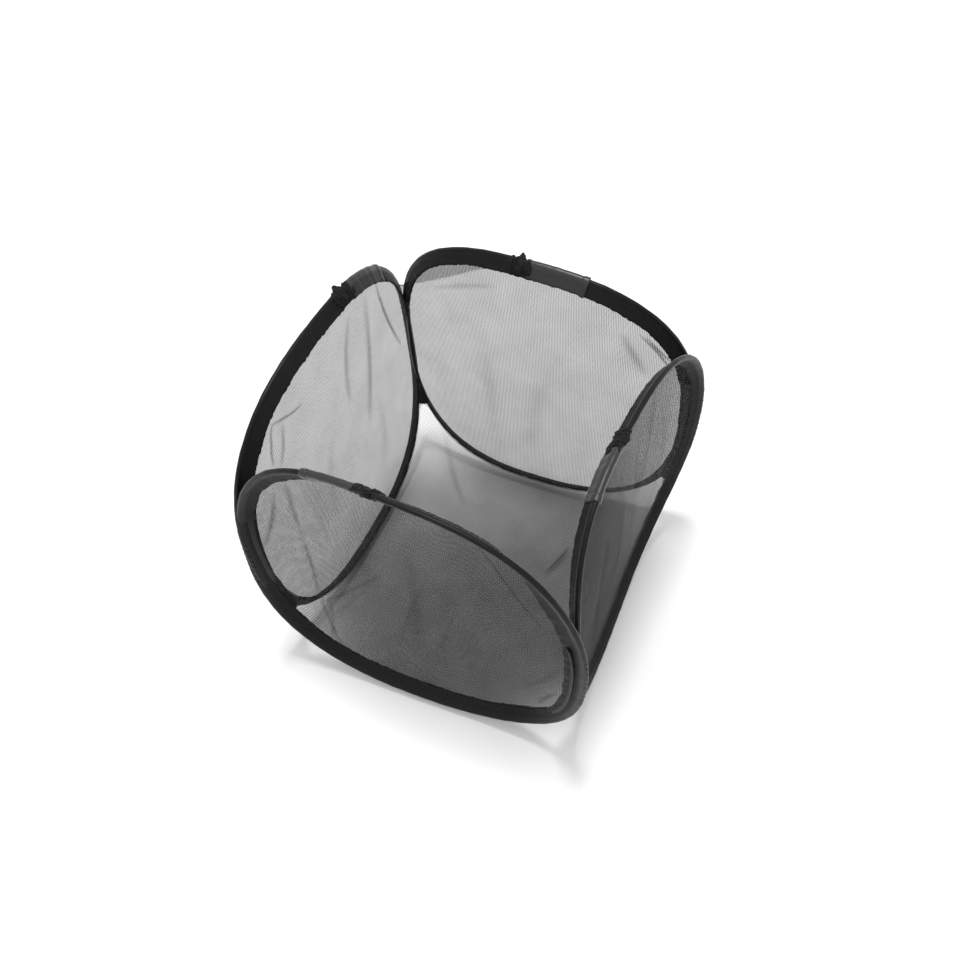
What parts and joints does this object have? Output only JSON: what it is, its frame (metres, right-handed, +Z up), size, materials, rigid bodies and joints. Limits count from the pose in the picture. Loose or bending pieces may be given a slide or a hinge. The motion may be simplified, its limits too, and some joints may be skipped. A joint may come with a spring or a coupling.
{
  "type": "folding crab trap",
  "caption": "Open-topped folding trap of fine net: spring-steel hoops in fabric casings, sewn into a cube with a slack net floor.",
  "frame": {"origin": "on the ground under the middle of the trap", "axes": "+Z up, -Y out through the front panel, +X out through the right panel"},
  "size_m": [0.319, 0.3078, 0.3014],
  "materials": {
    "spring_steel": "tempered wire, bright",
    "crimped_ferrule": "zinc plated, crimped",
    "binding_tape": "black woven polyester tape, folded and sewn",
    "net": "black knitted polyester net, about 1.8 mm mesh",
    "floor_net": "black knitted polyester net, about 1.8 mm mesh",
    "sewing_thread": "black bonded polyester thread"
  },
  "bodies": {
    "front_panel": {"front_hoop_wire": "spring_steel", "front_wire_ferrule": "crimped_ferrule", "front_hoop_casing": "binding_tape", "front_net_panel": "net", "front_splice_sleeve": "binding_tape", "front_splice_whipping": "sewing_thread", "front_thread_knots": "sewing_thread", "floor_net": "floor_net", "front_right_stitching": "sewing_thread", "front_left_stitching": "sewing_thread", "front_right_gusset": "net", "front_right_seam_tape": "net", "front_right_top_web": "net", "front_left_gusset": "net", "front_left_seam_tape": "net", "front_left_top_web": "net"},
    "right_panel": {"right_hoop_wire": "spring_steel", "right_wire_ferrule": "crimped_ferrule", "right_hoop_casing": "binding_tape", "right_net_panel": "net", "right_splice_sleeve": "binding_tape", "right_splice_whipping": "sewing_thread", "right_thread_knots": "sewing_thread", "back_right_gusset": "net", "back_right_seam_tape": "net", "back_right_top_web": "net"},
    "back_panel": {"back_hoop_wire": "spring_steel", "back_wire_ferrule": "crimped_ferrule", "back_hoop_casing": "binding_tape", "back_net_panel": "net", "back_splice_sleeve": "binding_tape", "back_splice_whipping": "sewing_thread", "back_thread_knots": "sewing_thread", "back_right_stitching": "sewing_thread", "back_left_stitching": "sewing_thread", "back_left_gusset": "net", "back_left_seam_tape": "net", "back_left_top_web": "net"},
    "left_panel": {"left_hoop_wire": "spring_steel", "left_wire_ferrule": "crimped_ferrule", "left_hoop_casing": "binding_tape", "left_net_panel": "net", "left_splice_sleeve": "binding_tape", "left_splice_whipping": "sewing_thread", "left_thread_knots": "sewing_thread"}
  },
  "joints": [
    {"name": "front_right_seam", "type": "hinge", "parent": "front_panel", "child": "right_panel", "pos_m": [0.148, -0.148, 0], "axis": [0, 0, 1], "range_deg": [-80, 80], "stiffness_Nm_per_rad": 0.12, "deforming": ["front_right_gusset", "front_right_seam_tape", "front_right_top_web", "floor_net"]},
    {"name": "front_left_seam", "type": "hinge", "parent": "front_panel", "child": "left_panel", "pos_m": [-0.148, -0.148, 0], "axis": [0, 0, 1], "range_deg": [-80, 80], "deforming": ["front_left_gusset", "front_left_seam_tape", "front_left_top_web"]},
    {"name": "back_right_seam", "type": "hinge", "parent": "right_panel", "child": "back_panel", "pos_m": [0.148, 0.148, 0], "axis": [0, 0, 1], "range_deg": [-80, 80], "deforming": ["back_right_gusset", "back_right_seam_tape", "back_right_top_web", "back_left_gusset", "back_left_seam_tape", "back_left_top_web"]}
  ],
  "couplings": [
    {"joint": "front_left_seam", "follows": "front_right_seam", "ratio": 1},
    {"joint": "back_right_seam", "follows": "front_right_seam", "ratio": -1}
  ]
}
